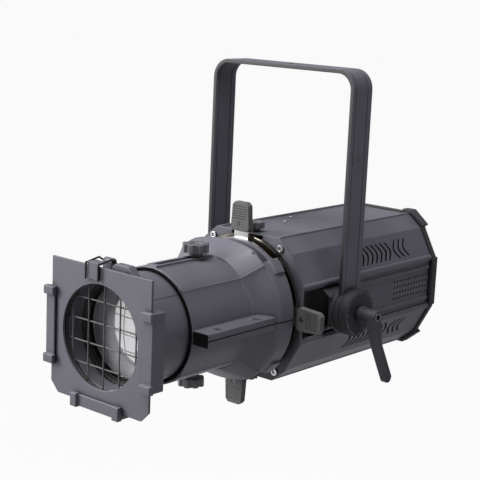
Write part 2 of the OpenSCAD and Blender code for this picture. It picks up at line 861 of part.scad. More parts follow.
// Heat-proof grip on the blade's tang, ribbed over its outer half.
module grip(i) {
  thick = 8;
  middle = blade_0 + i * layer_step + blade_t / 2;
  root = grip_w / 2;
  tip = root * 0.88;
  end = grip_y + grip_l;
  ribs = 6;
  step = grip_l * 0.5 / ribs;
  difference() {
    translate([0, 0, middle - thick / 2]) linear_extrude(thick)
      polygon([[-root + 3, grip_y], [root - 3, grip_y], [root, grip_y + 4],
        [tip, end - 4], [tip - 4, end], [-tip + 4, end], [-tip, end - 4], [-root, grip_y + 4]]);
    slab([-tang_w / 2 - 0.05, grip_y - 1, middle - blade_t / 2 - 0.05],
      [tang_w / 2 + 0.05, grip_y + 13.1, middle + blade_t / 2 + 0.05]);
    for (j = [1 : ribs], s = [-1, 1])
      translate([0, end - 3 - step * j, middle + s * thick / 2])
        cube([2 * tip - 4, step * 0.45, 1.4], center = true);
    translate([0, grip_y + 8, 0]) {
      rod_z(3.4, middle + thick / 2 - 1.2, middle + thick);
      translate([0, 0, middle + blade_t]) cylinder(r = 1.9, h = thick, $fn = 6);
    }
  }
}

module grip_top() {
  color([0.3, 0.3, 0.31]) beam() grip(3);
}

module grip_bottom() {
  color([0.3, 0.3, 0.31]) beam() rotate([0, 0, 180]) grip(2);
}

module grip_right() {
  color([0.3, 0.3, 0.31]) beam() rotate([0, 0, -90]) grip(1);
}

module grip_left() {
  color([0.3, 0.3, 0.31]) beam() rotate([0, 0, 90]) grip(0);
}

// Lens positions: flat back faces of the two lenses.
lens_r = tube_in - 0.5;
lens_back = [tube_back + 9, tube_front - 35];
lens_rim = 4;
lens_rise = 15;
lens_ball = (lens_r * lens_r + lens_rise * lens_rise) / (2 * lens_rise);

// Sliding tube with two lens seats, ribs against glare and shallow seams outside.
module lens_tube() {
  seat_in = tube_in - 5.5;
  knob_hole = 3.3;
  color([0.2, 0.19, 0.22]) beam() difference() {
    union() {
      ring_z(tube_r, tube_in, tube_back, tube_front);
      for (z = lens_back) ring_z(tube_in + 1, seat_in, z - 3, z);
      for (i = [1 : 3]) ring_z(tube_in + 1, tube_in - 1.6, tube_front - 6 * i, tube_front - 6 * i + 2);
    }
    for (a = [45 : 90 : 315]) rotate([0, 0, a])
      slab([tube_r - 0.6, -0.5, tube_back - 1], [tube_r + 1, 0.5, tube_front + 1]);
    translate([0, 0, knob_z]) rod_y(knob_hole, -tube_r - 1, tube_r + 1);
  }
}

module lens(z) {
  intersection() {
    translate([0, 0, z + lens_rim + lens_rise - lens_ball]) sphere(r = lens_ball, $fn = 128);
    rod_z(lens_r, z, z + lens_rim + lens_rise + 1);
  }
}

module front_lens() {
  color([0.8, 0.85, 0.9, 0.4]) beam() lens(lens_back[1]);
}

module rear_lens() {
  color([0.8, 0.85, 0.9, 0.4]) beam() lens(lens_back[0]);
}

module lens_rings() {
  color([0.15, 0.15, 0.16]) beam() for (z = lens_back)
    ring_z(tube_in - 0.1, tube_in - 3.3, z + lens_rim + 1.7, z + lens_rim + 4.6);
}

// Channel that takes one edge of the colour frame, drawn for the right side.
module channel(half) {
  x_out = frame_half + 6;
  slot_x = frame_half + 1.3;
  lip_x = frame_half - 8;
  back = frame_front - 16;
  slot_z = frame_front - frame_t - 0.4;
  difference() {
    slab([tube_r - 1, -half, back], [x_out, half, frame_front + 3.4]);
    slab([0, -half - 1, slot_z], [slot_x, half + 1, frame_front + 0.4]);
    slab([0, -half - 1, frame_front], [lip_x, half + 1, holder_front + 1]);
    slab([tube_r + 4, -half + 4, back - 1], [slot_x - 1, half - 4, slot_z - 5]);
  }
  for (s = [-1, 1]) slab([lip_x - 1, s * (half - 4) - 5, frame_front + 0.4],
    [x_out + 1, s * (half - 4) + 5, holder_front + 2]);
}

clip_x = [-20, 0];
clip_y = frame_half + 2;
clip_z = tube_front + 6;

// Holder on the front of the lens tube: ring, three channels and the retainer's lug.
module accessory_holder() {
  ring_out = tube_r + 2.5;
  ring_front_z = mesh_z + 1.4;
  lug = [clip_x[0] + 3, clip_x[1] - 3];
  k = frame_half / 79;
  color([0.2, 0.19, 0.22]) beam() difference() {
    union() {
      rod_z(ring_out, tube_front, ring_front_z);
      both_sides() channel(44);
      rotate([0, 0, -90]) channel(38);
      translate([0, 0, tube_front + 12]) linear_extrude(10)
        polygon([[10, 61.5 * k], [10, 80 * k], [15, 85 * k], [36, 85 * k], [46, 74 * k],
          [46, 44], [30, 55]]);
      slab([lug[0], tube_r - 1, clip_z - 4.5], [lug[1], clip_y, clip_z + 4.5]);
      translate([0, clip_y, clip_z]) rod_x(4.5, lug[0], lug[1]);
    }
    rod_z(tube_in, tube_front - 1, holder_front + 9);
    rod_z(tube_r + 0.1, mesh_z - 2.2, holder_front + 9);
    translate([0, clip_y, clip_z]) rod_x(1.35, lug[0] - 1, lug[1] + 1);
    translate([36, 74 * k, 0]) rod_z(4, tube_front + 10, tube_front + 24);
  }
}

// Wire guard behind the colour frame.
module safety_mesh() {
  wire_r = 0.9;
  rim = tube_r - 1.2;
  pitch = rim * 0.405;
  color([0.15, 0.15, 0.16]) beam() {
    translate([0, 0, mesh_z]) rotate_extrude() translate([rim, 0]) circle(r = 1.1);
    for (i = [-2 : 2]) let (x = pitch * i, h = sqrt(rim * rim - x * x))
      translate([x, 0, mesh_z + 0.2]) rod_y(wire_r, -h, h);
    for (i = [-1.5 : 1 : 1.5]) let (y = pitch * i, h = sqrt(rim * rim - y * y))
      translate([0, y, mesh_z - 1]) rod_x(wire_r, -h, h);
  }
}

// Square colour frame with two cropped lower corners.
module colour_frame() {
  f = frame_half;
  crop = 12;
  color([0.24, 0.23, 0.27]) beam() difference() {
    translate([0, 0, frame_front - frame_t]) linear_extrude(frame_t)
      polygon([[-f + crop, -f], [f - crop, -f], [f, -f + crop], [f, f], [-f, f], [-f, -f + crop]]);
    rod_z(frame_hole_d / 2, frame_front - frame_t - 1, frame_front + 1);
  }
}

// Wire retainer that keeps the colour frame from lifting out, hinged behind it.
module retainer_wire() {
  r = 1.1;
  knot = r + 0.12;
  z_front = frame_front + 3.4;
  y_top = frame_half + 2.8;
  color([0.05, 0.05, 0.05]) beam() {
    for (x = clip_x) {
      a = [x, y_top - 18, z_front];
      b = [x, y_top, z_front];
      c = [x, y_top + 3.5, clip_z + 7];
      d = [x, clip_y, clip_z];
      wire(a, b, r);
      wire(b, c, r);
      wire(c, d, r);
      for (p = [b, c, d]) translate(p) sphere(r = knot, $fn = 32);
    }
    translate([0, clip_y, clip_z]) rod_x(r, clip_x[0], clip_x[1]);
  }
}

// Sheet tab carried by the retainer's wires, folded down over the frame's front.
module retainer_tab() {
  y_top = frame_half + 3.4;
  z = frame_front + 1.2;
  color([0.3, 0.3, 0.33]) beam() {
    slab([clip_x[0] + 1.4, y_top - 18, z], [clip_x[1] - 1.4, y_top + 0.5, z + 1]);
    slab([clip_x[0] + 1.4, y_top, clip_z + 12], [clip_x[1] - 1.4, y_top + 1, z + 1]);
  }
}

yoke_bar();
tilt_discs();
pivot_bolt();
clamp_lever();
clamp_screw();
front_plate();
housing_top();
housing_bottom();
side_plate_right();
side_plate_left();
housing_screws();
bracket_right();
bracket_left();
inner_discs();
pivot_nuts();
rear_bezel();
rear_panel();
display_window();
data_sockets();
power_sockets();
chassis_tray();
heat_sink();
led_module();
reflector();
fan_frame();
fan_rotor();
power_supply();
control_board();
button_menu();
button_up();
button_down();
button_enter();
lock_knob_top();
lock_knob_bottom();
barrel_upper();
barrel_lower();
barrel_screws();
gate_collar();
collar_keeper();
gate_plate();
blade_top();
blade_bottom();
blade_right();
blade_left();
grip_top();
grip_bottom();
grip_right();
grip_left();
lens_tube();
accessory_holder();
front_lens();
rear_lens();
lens_rings();
safety_mesh();
colour_frame();
focus_knob_top();
focus_knob_bottom();
retainer_wire();
retainer_tab();
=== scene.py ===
import math
import bmesh
import bpy
from mathutils import Matrix, Vector


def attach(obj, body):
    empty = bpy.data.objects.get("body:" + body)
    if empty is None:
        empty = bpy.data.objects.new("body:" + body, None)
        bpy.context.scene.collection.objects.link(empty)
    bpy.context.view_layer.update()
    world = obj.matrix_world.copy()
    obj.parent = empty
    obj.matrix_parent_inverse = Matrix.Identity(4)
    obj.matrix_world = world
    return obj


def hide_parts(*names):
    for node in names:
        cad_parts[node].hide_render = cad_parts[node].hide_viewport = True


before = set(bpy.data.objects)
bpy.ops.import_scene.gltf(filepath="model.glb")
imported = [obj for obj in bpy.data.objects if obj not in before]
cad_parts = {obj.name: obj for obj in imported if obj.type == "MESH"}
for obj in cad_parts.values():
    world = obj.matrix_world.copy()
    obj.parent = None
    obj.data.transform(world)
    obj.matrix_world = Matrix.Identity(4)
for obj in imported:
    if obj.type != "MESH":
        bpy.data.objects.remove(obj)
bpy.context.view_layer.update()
scene = bpy.context.scene
scene.view_settings.view_transform = "Standard"

# Studio. The lamp hangs from its yoke in front of a white sweep. A long lens stands to the right of
# the beam and a little above the tilt axis; soft boxes hang overhead, in front, right and behind.
axis_drop = 0.293
tilt_axis = Vector((0, 0, -axis_drop))
azimuth, elevation, roll = (math.radians(a) for a in (40.58, 11.52, 2.49))
back = Vector((math.sin(azimuth) * math.cos(elevation),
               -math.cos(azimuth) * math.cos(elevation), math.sin(elevation)))
level = Vector((math.cos(azimuth), math.sin(azimuth), 0))
upright = back.cross(level)
across = math.cos(roll) * level + math.sin(roll) * upright
above = math.cos(roll) * upright - math.sin(roll) * level
standpoint = Vector((0.9811, -1.2283, 0.3880))
picture_px, focal_px, sensor_mm = 480, 1261.42, 36
lens_camera = bpy.data.cameras.new("studio_camera")
lens_camera.sensor_width = sensor_mm
lens_camera.lens = focal_px / picture_px * sensor_mm
lens_camera.clip_start, lens_camera.clip_end = 0.05, 300
camera = bpy.data.objects.new("studio_camera", lens_camera)
camera.matrix_world = Matrix((across, above, back)).transposed().to_4x4()
camera.location = tilt_axis + standpoint
scene.collection.objects.link(camera)
scene.camera = camera


def soft_box(name, place, size, power):
    """A rectangular lamp at this place from the tilt axis, turned towards it."""
    light = bpy.data.lights.new(name, "AREA")
    light.shape = "RECTANGLE"
    light.size, light.size_y = size
    light.energy = power
    box = bpy.data.objects.new(name, light)
    box.location = tilt_axis + Vector(place)
    box.rotation_euler = (-Vector(place)).to_track_quat("-Z", "Y").to_euler()
    scene.collection.objects.link(box)


soft_box("overhead_box", (0.0, -0.9, 2.6), (1.8, 1.4), power=92)
soft_box("front_box", (-2.0, -1.9, 1.0), (1.5, 1.3), power=112)
soft_box("side_box", (2.4, 0.5, 0.9), (1.2, 1.2), power=11)
soft_box("rear_box", (-0.6, 2.2, 1.2), (1.6, 1.4), power=3)


def add_node(tree, kind, feeds=(), **settings):
    """A shader node with its settings; each feed is a socket to link from or a value to set."""
    node = tree.nodes.new("ShaderNode" + kind)
    for name, value in settings.items():
        setattr(node, name, value)
    for place, feed in dict(feeds).items():
        if isinstance(feed, bpy.types.NodeSocket):
            tree.links.new(feed, node.inputs[place])
        else:
            node.inputs[place].default_value = feed
    return node


def worked(tree, operation, *values):
    """Result of one step of arithmetic on sockets and numbers."""
    return add_node(tree, "Math", dict(enumerate(values)), operation=operation).outputs[0]


def ranged(tree, value, low, high, new_low=0, new_high=1):
    """A value brought from one range to another and held inside it."""
    return add_node(tree, "MapRange", {"Value": value, "From Min": low, "From Max": high,
                                       "To Min": new_low, "To Max": new_high}).outputs[0]


def blended(tree, share, one, other, way="MIX"):
    """Two colours brought together by a share."""
    return add_node(tree, "Mix", {"Factor": share, "A": one, "B": other}, data_type="RGBA",
                    blend_type=way).outputs["Result"]


# metal and glass show the white sweep on the key side and a grey room behind and overhead
key_side = Vector((-0.65, -0.72, -0.24))
white = (1, 1, 1, 1)


def key_share(tree, way, room_end, white_end):
    """Share of the white sweep, which grows towards the key side."""
    towards_key = add_node(tree, "VectorMath", {0: way, 1: key_side}, operation="DOT_PRODUCT")
    return ranged(tree, towards_key.outputs["Value"], room_end, white_end)


def sharp_ray(tree, ray):
    """Rays that metal and glass send on."""
    return worked(tree, "MAXIMUM", ray["Is Glossy Ray"], ray["Is Transmission Ray"])


studio_air = bpy.data.worlds.new("studio_air")
studio_air.use_nodes = True
air = studio_air.node_tree
fill = air.nodes["Background"]
fill.inputs["Color"].default_value = (0.92, 0.94, 1.0, 1)
fill.inputs["Strength"].default_value = 0.1
ray = add_node(air, "LightPath").outputs
sky_way = add_node(air, "TexCoord").outputs["Generated"]
room = blended(air, key_share(air, sky_way, -0.05, 0.45), (0.15, 0.15, 0.18, 1), white)
mirrored = add_node(air, "Background", {"Color": room})
to_metal = add_node(air, "MixShader", {0: sharp_ray(air, ray), 1: fill.outputs[0],
                                       2: mirrored.outputs[0]})
sweep_glow = add_node(air, "Background", {"Color": (0.956, 0.956, 0.956, 1)})
to_camera = add_node(air, "MixShader", {0: ray["Is Camera Ray"], 1: to_metal.outputs[0],
                                        2: sweep_glow.outputs[0]})
air.links.new(to_camera.outputs[0], air.nodes["World Output"].inputs[0])
scene.world = studio_air

# the floor keeps a little of its own matt paint in view, which shows the lamp's shadow
sweep_paint = bpy.data.materials.new("white_sweep")
sweep_paint.use_nodes = True
sweep = sweep_paint.node_tree
matt = sweep.nodes["Principled BSDF"]
matt.inputs["Base Color"].default_value = (0.36, 0.36, 0.37, 1)
matt.inputs["Roughness"].default_value = 0.9
matt.inputs["Specular IOR Level"].default_value = 0.1
glow_share = 0.95
ray = add_node(sweep, "LightPath").outputs
floor_way = add_node(sweep, "TexCoord").outputs["Object"]
lit_side = worked(sweep, "MAXIMUM", key_share(sweep, floor_way, -1.5, 1.5), ray["Is Camera Ray"])
glow = add_node(sweep, "Emission", {"Color": blended(sweep, lit_side, (0.4, 0.4, 0.43, 1), white)})
seen_ray = worked(sweep, "MAXIMUM", sharp_ray(sweep, ray), ray["Is Camera Ray"])
shown = add_node(sweep, "MixShader", {0: worked(sweep, "MULTIPLY", seen_ray, glow_share),
                                      1: matt.outputs[0], 2: glow.outputs[0]})
sweep.links.new(shown.outputs[0], sweep.nodes["Material Output"].inputs[0])
reach, floor_z = 120.0, -1.25
sheet = bpy.data.meshes.new("studio_floor")
sheet.from_pydata([(-reach, -reach, floor_z), (reach, -reach, floor_z), (reach, reach, floor_z),
                   (-reach, reach, floor_z)], [], [(0, 1, 2, 3)])
sheet.materials.append(sweep_paint)
floor = bpy.data.objects.new("studio_floor", sheet)
scene.collection.objects.link(floor)

# Yoke. A flat steel bar rolled with two grooves along each face, bent to a U on a press and
# powder coated satin charcoal; it hangs by the hole in its crossbar.


def new_group(name, takes, gives, take_kind="NodeSocketFloat"):
    """An empty node group with what it takes and what it gives."""
    group = bpy.data.node_groups.new(name, "ShaderNodeTree")
    for socket in takes:
        group.interface.new_socket(socket, in_out="INPUT", socket_type=take_kind)
    for socket in gives:
        group.interface.new_socket(socket, in_out="OUTPUT", socket_type="NodeSocketFloat")
    return group, group.nodes.new("NodeGroupInput").outputs, group.nodes.new("NodeGroupOutput").inputs


def noise(tree, place, scale, detail, roughness=0.5):
    """Cloudy values from 0 to 1, mostly near the middle."""
    return add_node(tree, "TexNoise", {"Vector": place, "Scale": scale, "Detail": detail,
                                       "Roughness": roughness}).outputs["Fac"]


def edge_group():
    """Mask of the outer edges, where a coat thins and wears and where a painted highlight lightens the
    colour.
    """
    group, takes, gives = new_group("edge_wear_and_highlight", ["Radius"], ["Mask"])
    soft = add_node(group, "Bevel", {"Radius": takes["Radius"]}, samples=4)
    true = add_node(group, "NewGeometry")
    agreement = add_node(group, "VectorMath", {0: soft.outputs[0], 1: true.outputs["Normal"]},
                         operation="DOT_PRODUCT")
    turn = ranged(group, agreement.outputs["Value"], 0.995, 0.86)
    place = add_node(group, "TexCoord").outputs["Object"]
    patch = noise(group, place, scale=160, detail=4)
    group.links.new(worked(group, "MULTIPLY", turn, patch), gives["Mask"])
    return group


def coat_group():
    """Sprayed coat: fine orange peel, slow mottling, painted shade that darkens corners and hollows, and
    dust where the face looks up.
    """
    group, takes, gives = new_group("sprayed_coat", ["Peel Scale", "Mottle", "Dust"],
                                    ["Height", "Tone and Painted Shade", "Gloss", "Dust"])
    place = add_node(group, "TexCoord").outputs
    peel = noise(group, place["Object"], takes["Peel Scale"], detail=3, roughness=0.6)
    slow = noise(group, place["Object"], scale=22, detail=5)
    rub = noise(group, place["Object"], scale=75, detail=4)
    shade = worked(group, "MULTIPLY_ADD", worked(group, "SUBTRACT", slow, 0.5), takes["Mottle"], 1)
    # painted shade: ambient occlusion darkens the colour in corners, grooves and hollows
    painted_shade_occlusion = add_node(group, "AmbientOcclusion", {"Distance": 0.007}, samples=4)
    corner = ranged(group, painted_shade_occlusion.outputs["AO"], 0.3, 0.92, new_low=0.08)
    axes = add_node(group, "SeparateXYZ", {0: place["Normal"]})
    top = ranged(group, axes.outputs["Z"], 0.55, 1.0)
    lying = worked(group, "MULTIPLY", top, slow)
    group.links.new(peel, gives["Height"])
    group.links.new(worked(group, "MULTIPLY", shade, corner), gives["Tone and Painted Shade"])
    group.links.new(rub, gives["Gloss"])
    group.links.new(worked(group, "MULTIPLY", lying, takes["Dust"]), gives["Dust"])
    return group


edge_wear_and_highlight = edge_group()
sprayed_coat = coat_group()


def new_finish(name):
    """A new material, its tree and the sockets of its shader."""
    made = bpy.data.materials.new(name)
    made.use_nodes = True
    return made, made.node_tree, made.node_tree.nodes["Principled BSDF"].inputs


def coated(name, colour, edge_colour, roughness, peel=900, peel_depth=0.00004, mottle=0.25, dust=0.1,
           edge=0.55, edge_radius=0.0009, metal=0.0, specular=0.2):
    """Painted or moulded finish: colour mottles slowly, painted shade darkens its corners, edges lighten
    with wear and with a painted highlight, dust lies on top.
    """
    made, tree, skin = new_finish(name)
    skin["Metallic"].default_value = metal
    skin["Specular IOR Level"].default_value = specular
    coat = add_node(tree, "Group", {"Peel Scale": peel, "Mottle": mottle, "Dust": dust},
                    node_tree=sprayed_coat).outputs
    rim = add_node(tree, "Group", {"Radius": edge_radius}, node_tree=edge_wear_and_highlight).outputs
    base = blended(tree, 1, (*colour, 1), coat["Tone and Painted Shade"], "MULTIPLY")
    # lighter edges: partly a thin, worn coat, partly a painted highlight
    edge_worn_and_lit = blended(tree, worked(tree, "MULTIPLY", rim["Mask"], edge), base, (*edge_colour, 1))
    lint_grey, rubbing = (0.34, 0.34, 0.35, 1), 0.07
    dusted = blended(tree, coat["Dust"], edge_worn_and_lit, lint_grey)
    rubbed = ranged(tree, coat["Gloss"], 0, 1, roughness - rubbing, roughness + rubbing)
    bump = add_node(tree, "Bump", {"Strength": 0.5, "Distance": peel_depth, "Height": coat["Height"]})
    tree.links.new(dusted, skin["Base Color"])
    tree.links.new(rubbed, skin["Roughness"])
    tree.links.new(bump.outputs[0], skin["Normal"])
    return made


def join_flats(shape):
    """Joins the triangles of a flat face into convex panels, so that few false edges are left."""
    flat = math.cos(math.radians(0.35))
    straight = math.pi + 0.01
    for seam in sorted(shape.edges, key=lambda e: -e.calc_length()):
        if not seam.is_valid or len(seam.link_faces) != 2:
            continue
        one, other = seam.link_faces
        ends = set(one.verts) & set(other.verts)
        if one.normal.dot(other.normal) < flat or len(ends) != 2:
            continue
        turns = [sum(corner.calc_angle() for face in (one, other) for corner in face.loops
                     if corner.vert is end) for end in ends]
        if max(turns) < straight:
            bmesh.utils.face_join((one, other))


def room_beside(corner):
    """How far a face reaches in from the middle of the edge that starts at this corner."""
    start, end = corner.vert.co, corner.link_loop_next.vert.co
    middle, along = (start + end) / 2, (end - start).normalized()
    inward = corner.face.normal.cross(along)
    nothing, room = 1e-7, 1.0
    for edge in corner.face.edges:
        if edge is corner.edge:
            continue
        a, b = (v.co - middle for v in edge.verts)
        left, right = a.dot(along), b.dot(along)
        if left * right > 0 or left == right:
            continue
        far = a.dot(inward) + (b - a).dot(inward) * left / (left - right)
        if nothing < far < room:
            room = far
    return room


def rounded(node, body, finish, edge, angle=32, segments=2):
    """The CAD piece with its sharp edges broken, as a press, mould or deburring leaves them."""
    weld_gap, speck, shortest = 2e-5, 1e-6, 0.00025
    share_of_room, least_share = 0.4, 0.12
    shape = bmesh.new()
    shape.from_mesh(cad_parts[node].data)
    bmesh.ops.remove_doubles(shape, verts=shape.verts, dist=weld_gap)
    bmesh.ops.dissolve_degenerate(shape, dist=speck, edges=shape.edges)
    shape.normal_update()
    join_flats(shape)
    breaking = shape.edges.layers.float.new("bevel_weight_edge")
    for line in shape.edges:
        if line.calc_length() < shortest or len(line.link_loops) != 2:
            continue
        if line.calc_face_angle(0) > math.radians(angle):
            share = share_of_room * min(room_beside(corner) for corner in line.link_loops) / edge
            line[breaking] = min(1, share) if share > least_share else 0
    mesh = bpy.data.meshes.new(node + "_finished")
    shape.to_mesh(mesh)
    shape.free()
    for face in mesh.polygons:
        face.use_smooth = True
    piece = bpy.data.objects.new(node + "_finished", mesh)
    scene.collection.objects.link(piece)
    mesh.materials.clear()
    mesh.materials.append(finish)
    broken = piece.modifiers.new("broken_edges", "BEVEL")
    broken.limit_method = "WEIGHT"
    broken.width = edge
    broken.segments = segments
    broken.use_clamp_overlap = False
    broken.harden_normals = True
    flat = piece.modifiers.new("flat_faces", "WEIGHTED_NORMAL")
    flat.keep_sharp = True
    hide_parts(node)
    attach(piece, body)


def overlaid(finish, mask, colour):
    """Lays a second colour over a finish where the mask is 1."""
    tree = finish.node_tree
    base = tree.nodes["Principled BSDF"].inputs["Base Color"]
    tree.links.new(blended(tree, mask, base.links[0].from_socket, (*colour, 1)), base)


charcoal = (0.094, 0.091, 0.112)
# edge colour: worn coat and painted edge highlight
charcoal_edge = (0.26, 0.255, 0.29)
bar_coat = coated("bar_coat", charcoal, charcoal_edge, roughness=0.48, specular=0.38)
# the bar's narrow edges are sheared and blackened before the coat, which stays thin and dark there
tree = bar_coat.node_tree
facing = add_node(tree, "SeparateXYZ", {0: add_node(tree, "TexCoord").outputs["Normal"]})
either_way = worked(tree, "ABSOLUTE", facing.outputs["Y"])
overlaid(bar_coat, ranged(tree, either_way, 0.7, 0.92), (0.012, 0.012, 0.015))
rounded("yoke_bar", "yoke", bar_coat, edge=0.0005)


def new_piece(name, corners, faces, body, finish, smooth=False):
    """A separate piece from its corners in millimetres: right, up and forward of the tilt axis."""
    mesh = bpy.data.meshes.new(name)
    mesh.from_pydata([(x / 1000, -z / 1000, y / 1000 - axis_drop) for x, y, z in corners], [], faces)
    shape = bmesh.new()
    shape.from_mesh(mesh)
    bmesh.ops.recalc_face_normals(shape, faces=shape.faces)
    shape.to_mesh(mesh)
    shape.free()
    for face in mesh.polygons:
        face.use_smooth = smooth
    if smooth:
        mesh.set_sharp_from_angle(angle=math.radians(40))
    piece = bpy.data.objects.new(name, mesh)
    mesh.materials.append(finish)
    scene.collection.objects.link(piece)
    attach(piece, body)
    return piece


def lofted(rings, corners, faces, endless=False):
    """Adds a solid with its skin over rings of equally many points; endless joins last to first."""
    first, around, rows = len(corners), len(rings[0]), len(rings)
    for ring in rings:
        corners += ring
    for row in range(rows if endless else rows - 1):
        here, there = first + row * around, first + (row + 1) % rows * around
        for i in range(around):
            j = (i + 1) % around
            faces.append((here + i, here + j, there + j, there + i))
    if not endless:
        faces.append(tuple(range(first, first + around)))
        faces.append(tuple(range(len(corners) - around, len(corners))))


def up_and_over(depth, outer):
    """Way along one face of the bar, this deep in it: up an arm, over the crossbar and down."""
    outer_face, inner_face = 111, 106
    bend_x, bend_y = 87, 269
    arm_low, arm_high = 30, 150
    arm = outer_face - depth if outer else inner_face + depth
    bend = arm - bend_x
    right = [(arm, arm_low), (arm, arm_high)]
    for step in range(11):
        turn = math.radians(9 * step)
        right.append((bend_x + bend * math.cos(turn), bend_y + bend * math.sin(turn)))
    return right + [(-x, y) for x, y in reversed(right)]


# painted shade: black strips lie in the rolled grooves and stand in for the shade inside them
groove_painted_shade = coated("groove_painted_shade", (0.01, 0.01, 0.012), (0.02, 0.02, 0.022), roughness=0.7, peel=2500,
                      dust=0.0, edge=0.2, specular=0.1)
groove_middles = (12.92, -10.26)
line_top, line_foot = 0.3, 0.55
top_half, foot_half = 0.46, 0.3
groove_corners, groove_faces = [], []
for outer in (True, False):
    tops_and_feet = list(zip(up_and_over(line_top, outer), up_and_over(line_foot, outer)))
    for middle in groove_middles:
        lofted([[(*top, middle - top_half), (*top, middle + top_half), (*foot, middle + foot_half),
                 (*foot, middle - foot_half)] for top, foot in tops_and_feet],
               groove_corners, groove_faces)
new_piece("groove_shade_lines", groove_corners, groove_faces, "yoke", groove_painted_shade)

# Tilt lock. Moulded discs pocket the round ends of the yoke's arms, and a lever with a long screw
# squeezes them against the discs on the brackets. A plain bolt holds the far side.
disc_black = coated("disc_black", (0.03, 0.03, 0.034), (0.09, 0.09, 0.1), roughness=0.55, peel=1500,
                    peel_depth=0.00006, dust=0.04, edge=0.4)
lever_black = coated("lever_black", (0.045, 0.044, 0.052), (0.13, 0.13, 0.14), roughness=0.45, peel=1500,
                     peel_depth=0.00006, dust=0.05, edge=0.4)
bright_zinc = coated("bright_zinc", (0.62, 0.62, 0.64), (0.9, 0.9, 0.92), roughness=0.3, peel=700,
                     peel_depth=0.00001, mottle=0.2, dust=0.0, edge=0.5, metal=1.0, specular=0.5)
screw_grey = coated("screw_grey", (0.16, 0.16, 0.165), (0.4, 0.4, 0.41), roughness=0.36, peel=700,
                    peel_depth=0.00001, mottle=0.3, dust=0.0, edge=0.6, metal=1.0, specular=0.5)
rounded("tilt_discs", "yoke", disc_black, edge=0.0007)
rounded("inner_discs", "lamp", disc_black, edge=0.0006)
rounded("clamp_lever", "tilt_lever", lever_black, edge=0.0008, segments=3)
rounded("clamp_screw", "tilt_lever", screw_grey, edge=0.0003)
rounded("pivot_bolt", "yoke", bright_zinc, edge=0.0005)


def on_rim(angle, r, side, x):
    """Point of a disc's rim: side steps along the rim."""
    c, s = math.cos(angle), math.sin(angle)
    return (x, r * c - side * s, r * s + side * c)


# grip ribs round both discs, each wider at its foot than at its crest
rim_bands = ((107.2, 113.4), (116.6, 125.2))
rib_radii_and_halves = ((28.2, 0.75), (28.95, 0.4))
rib_count = 60
rib_corners, rib_faces = [], []
for side in (1, -1):
    for near, far in rim_bands:
        for step in range(rib_count):
            turn = 2 * math.pi * step / rib_count
            lofted([[on_rim(turn, r, half, side * near), on_rim(turn, r, -half, side * near),
                     on_rim(turn, r, -half, side * far), on_rim(turn, r, half, side * far)]
                    for r, half in rib_radii_and_halves], rib_corners, rib_faces)
new_piece("disc_grip_ribs", rib_corners, rib_faces, "yoke", disc_black)

# the tilt scale's ticks on the face beside the lever, every sixth one longer
scale_white = coated("scale_white", (0.34, 0.34, 0.35), (0.4, 0.4, 0.41), roughness=0.6, peel=2500,
                     dust=0.0)
tick_count, tick_half, tick_outer = 72, 0.22, 27.2
long_inner, short_inner = 23.6, 25.4
tick_foot, tick_face = 125.8, 126.12
tick_corners, tick_faces = [], []
for step in range(tick_count):
    turn = 2 * math.pi * step / tick_count
    inner = long_inner if step % 6 == 0 else short_inner
    lofted([[on_rim(turn, inner, -tick_half, x), on_rim(turn, inner, tick_half, x),
             on_rim(turn, tick_outer, tick_half, x), on_rim(turn, tick_outer, -tick_half, x)]
            for x in (tick_foot, tick_face)], tick_corners, tick_faces)
new_piece("tilt_scale", tick_corners, tick_faces, "yoke", scale_white)

# Housing. Two bent aluminium shells with chevron vents meet rounded side rails; perforated plates
# close the bands behind the hat brackets, and a plate screwed to the front carries the barrel.
shell_coat = coated("shell_coat", charcoal, charcoal_edge, roughness=0.48, specular=0.38)
sheet_coat = coated("sheet_coat", (0.085, 0.082, 0.1), charcoal_edge, roughness=0.5, specular=0.38)
# painted shade: the hat brackets take a much darker copy of the coat for the shadow of the yoke and lamp
# over them
bracket_shaded_coat = coated("bracket_shaded_coat", (0.03, 0.03, 0.034), (0.1, 0.1, 0.11), roughness=0.45, specular=0.3)
for node in ("housing_top", "housing_bottom"):
    rounded(node, "lamp", shell_coat, edge=0.0008, angle=20)
for node in ("bracket_right", "bracket_left"):
    rounded(node, "lamp", bracket_shaded_coat, edge=0.0006)
rounded("front_plate", "lamp", sheet_coat, edge=0.0006)
rounded("housing_screws", "lamp", bright_zinc, edge=0.0003)


def finish_as_cut(nodes, finish):
    """CAD pieces that keep their own shape and take a finish."""
    for node in nodes:
        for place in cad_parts[node].material_slots:
            place.material = finish


finish_as_cut(("side_plate_right", "side_plate_left"), sheet_coat)


def full_turn(steps):
    """Angles of this many equal steps once round."""
    return [2 * math.pi * step / steps for step in range(steps)]


# black fill, pressed against the inside of the plates and shells, bulges into the perforations and
# fills the chevron slots: painted shade that makes the holes read dark
vent_painted_shade = coated("vent_painted_shade", (0.006, 0.006, 0.007), (0.012, 0.012, 0.013), roughness=0.9, peel=3000,
                     peel_depth=0.0002, mottle=0.5, dust=0.0, edge=0.2, specular=0.05)
shade_fill_corners, shade_fill_faces = [], []
top_row, row_pitch, rows = 11.4, 7.6, 4
first_column, column_pitch, columns = 131, 6.8, 12
bulge = ((84.2, 1.19), (87.02, 1.5), (87.25, 1.2))
for side in (1, -1):
    for column in range(columns):
        for row in range(rows):
            y, z = top_row - row_pitch * row, -(first_column + column_pitch * column)
            lofted([[(side * x, y + r * math.cos(turn), z + r * math.sin(turn)) for turn in full_turn(16)]
                    for x, r in bulge], shade_fill_corners, shade_fill_faces)
band_corner, shoulder_corner = Vector((89, 34)), Vector((68.5, 72))
up_shoulder = (shoulder_corner - band_corner).normalized()
out_of_shoulder = Vector((up_shoulder.y, -up_shoulder.x))
shoulder_middle = (band_corner + shoulder_corner) / 2
overlap = 0.4
